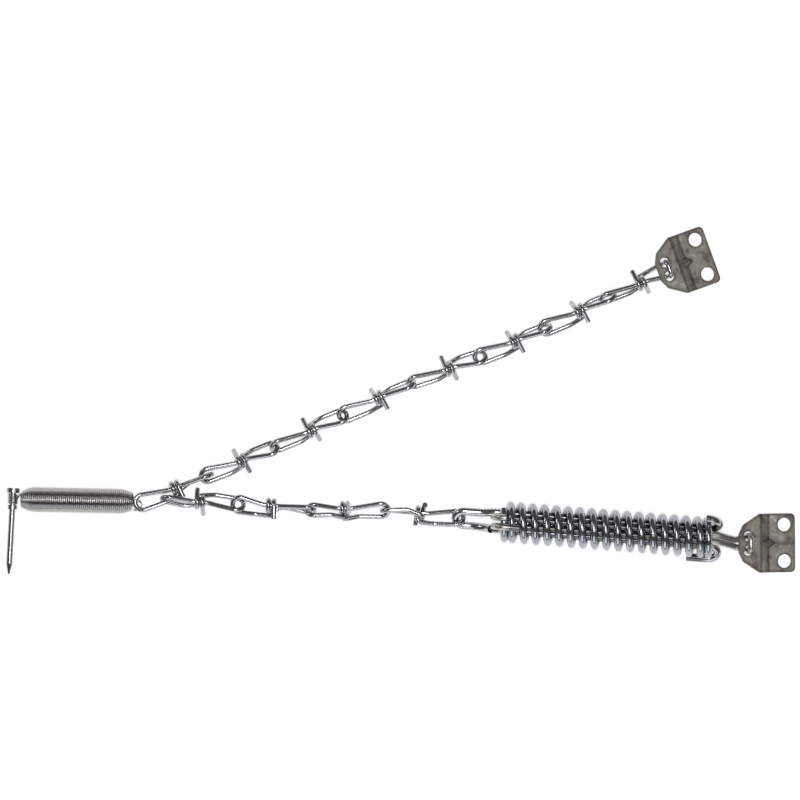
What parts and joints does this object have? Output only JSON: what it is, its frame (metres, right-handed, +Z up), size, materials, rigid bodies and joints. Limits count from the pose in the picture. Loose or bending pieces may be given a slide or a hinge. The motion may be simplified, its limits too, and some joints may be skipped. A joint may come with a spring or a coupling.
{
  "type": "storm door chain",
  "caption": "Wire-link storm door chain with a cushion spring in a draw loop and yoke, a light keeper spring on a pin, and two screw-on brackets.",
  "frame": {"origin": "bottom centre of the overall bounding box, on the surface that the chain lies on", "axes": "+X from the keeper spring's pin towards the frame bracket, +Y towards the door bracket, +Z up from the surface"},
  "size_m": [0.3562, 0.1584, 0.0221],
  "materials": {
    "bracket_plate": "dull grey-brown plated steel sheet",
    "cushion_wire": "bright zinc-plated spring wire",
    "yoke_wire": "dull zinc-plated wire",
    "keeper_wire": "bright plated spring wire",
    "pin": "bright plated steel",
    "draw_wire": "bright zinc-plated wire",
    "chain_wire": "bright zinc-plated wire"
  },
  "bodies": {
    "frame_bracket": {"frame_bracket": "bracket_plate"},
    "yoke": {"yoke": "yoke_wire", "cushion_spring": "cushion_wire"},
    "draw_loop": {"draw_loop": "draw_wire"},
    "lower_link_1": {"lower_link_1": "chain_wire"},
    "lower_link_2": {"lower_link_2": "chain_wire"},
    "lower_link_3": {"lower_link_3": "chain_wire"},
    "lower_link_4": {"lower_link_4": "chain_wire"},
    "upper_link_1": {"upper_link_1": "chain_wire"},
    "upper_link_2": {"upper_link_2": "chain_wire"},
    "upper_link_3": {"upper_link_3": "chain_wire"},
    "upper_link_4": {"upper_link_4": "chain_wire"},
    "upper_link_5": {"upper_link_5": "chain_wire"},
    "upper_link_6": {"upper_link_6": "chain_wire"},
    "upper_link_7": {"upper_link_7": "chain_wire"},
    "upper_link_8": {"upper_link_8": "chain_wire"},
    "door_bracket": {"door_bracket": "bracket_plate"},
    "keeper_spring": {"keeper_spring": "keeper_wire"},
    "anchor_pin": {"anchor_pin": "pin"}
  },
  "joints": [
    {"name": "yoke_pivot", "type": "hinge", "parent": "frame_bracket", "child": "yoke", "pos_m": [0.15663, -0.06341, 0.00799], "axis": [-0.014, 0.9999, 0], "range_deg": [-26, 4]},
    {"name": "cushion_travel", "type": "slide", "parent": "yoke", "child": "draw_loop", "axis": [-0.9974, 0.0715, 0], "range_m": [0, 0.03], "stiffness_N_per_m": 4000, "deforming": ["cushion_spring"]},
    {"name": "lower_link_4_pivot", "type": "hinge", "parent": "draw_loop", "child": "lower_link_4", "pos_m": [0.02444, -0.05262, 0.00465], "axis": [0.06, 0.8365, 0.5446], "range_deg": [-20, 6]},
    {"name": "lower_link_3_pivot", "type": "hinge", "parent": "lower_link_4", "child": "lower_link_3", "pos_m": [-0.00572, -0.04947, 0.00564], "axis": [0.0087, -1, 0], "range_deg": [-50, 50]},
    {"name": "lower_link_2_pivot", "type": "hinge", "parent": "lower_link_3", "child": "lower_link_2", "pos_m": [-0.04262, -0.04958, 0.00708], "axis": [0.006, -0.682, 0.7314], "range_deg": [-50, 34]},
    {"name": "lower_link_1_pivot", "type": "hinge", "parent": "lower_link_2", "child": "lower_link_1", "pos_m": [-0.07102, -0.04746, 0.00651], "axis": [0.0722, 0.6991, -0.7114], "range_deg": [0, 50]},
    {"name": "upper_link_1_pivot", "type": "hinge", "parent": "lower_link_1", "child": "upper_link_1", "pos_m": [-0.10608, -0.04632, 0.00792], "axis": [0.9361, 0.3518, 0], "range_deg": [-24, 5]},
    {"name": "upper_link_2_pivot", "type": "hinge", "parent": "upper_link_1", "child": "upper_link_2", "pos_m": [-0.0901, -0.03523, 0.00625], "axis": [-0.342, 0.9397, 0], "range_deg": [-50, 50]},
    {"name": "upper_link_3_pivot", "type": "hinge", "parent": "upper_link_2", "child": "upper_link_3", "pos_m": [-0.05606, -0.02087, 0.00609], "axis": [-0.2542, 0.6983, -0.6691], "range_deg": [-50, 50]},
    {"name": "upper_link_4_pivot", "type": "hinge", "parent": "upper_link_3", "child": "upper_link_4", "pos_m": [-0.02496, -0.00616, 0.0055], "axis": [-0.3028, 0.7275, -0.6157], "range_deg": [-42, 26]},
    {"name": "upper_link_5_pivot", "type": "hinge", "parent": "upper_link_4", "child": "upper_link_5", "pos_m": [0.00297, 0.00757, 0.00497], "axis": [0.2029, -0.6099, -0.766], "range_deg": [-24, 50]},
    {"name": "upper_link_6_pivot", "type": "hinge", "parent": "upper_link_5", "child": "upper_link_6", "pos_m": [0.03297, 0.01899, 0.00556], "axis": [0.328, -0.8284, -0.454], "range_deg": [-40, 26]},
    {"name": "upper_link_7_pivot", "type": "hinge", "parent": "upper_link_6", "child": "upper_link_7", "pos_m": [0.0667, 0.03402, 0.00506], "axis": [-0.1671, 0.4221, -0.891], "range_deg": [-50, 50]},
    {"name": "upper_link_8_pivot", "type": "hinge", "parent": "upper_link_7", "child": "upper_link_8", "pos_m": [0.09255, 0.04704, 0.00505], "axis": [-0.3616, 0.9323, 0], "range_deg": [-16, 8]},
    {"name": "door_bracket_pivot", "type": "hinge", "parent": "upper_link_8", "child": "door_bracket", "pos_m": [0.11939, 0.05998, 0.00762], "axis": [-0.3453, 0.9385, 0], "range_deg": [-7, 40]},
    {"name": "keeper_spring_pivot", "type": "hinge", "parent": "upper_link_1", "child": "keeper_spring", "pos_m": [-0.11958, -0.04764, 0.00787], "axis": [0.3488, -0.9281, 0.1305], "range_deg": [-5, 54]},
    {"name": "keeper_stretch", "type": "slide", "parent": "keeper_spring", "child": "anchor_pin", "axis": [-0.9999, 0.014, 0], "range_m": [0, 0.02], "stiffness_N_per_m": 400, "deforming": ["keeper_spring"]}
  ]
}
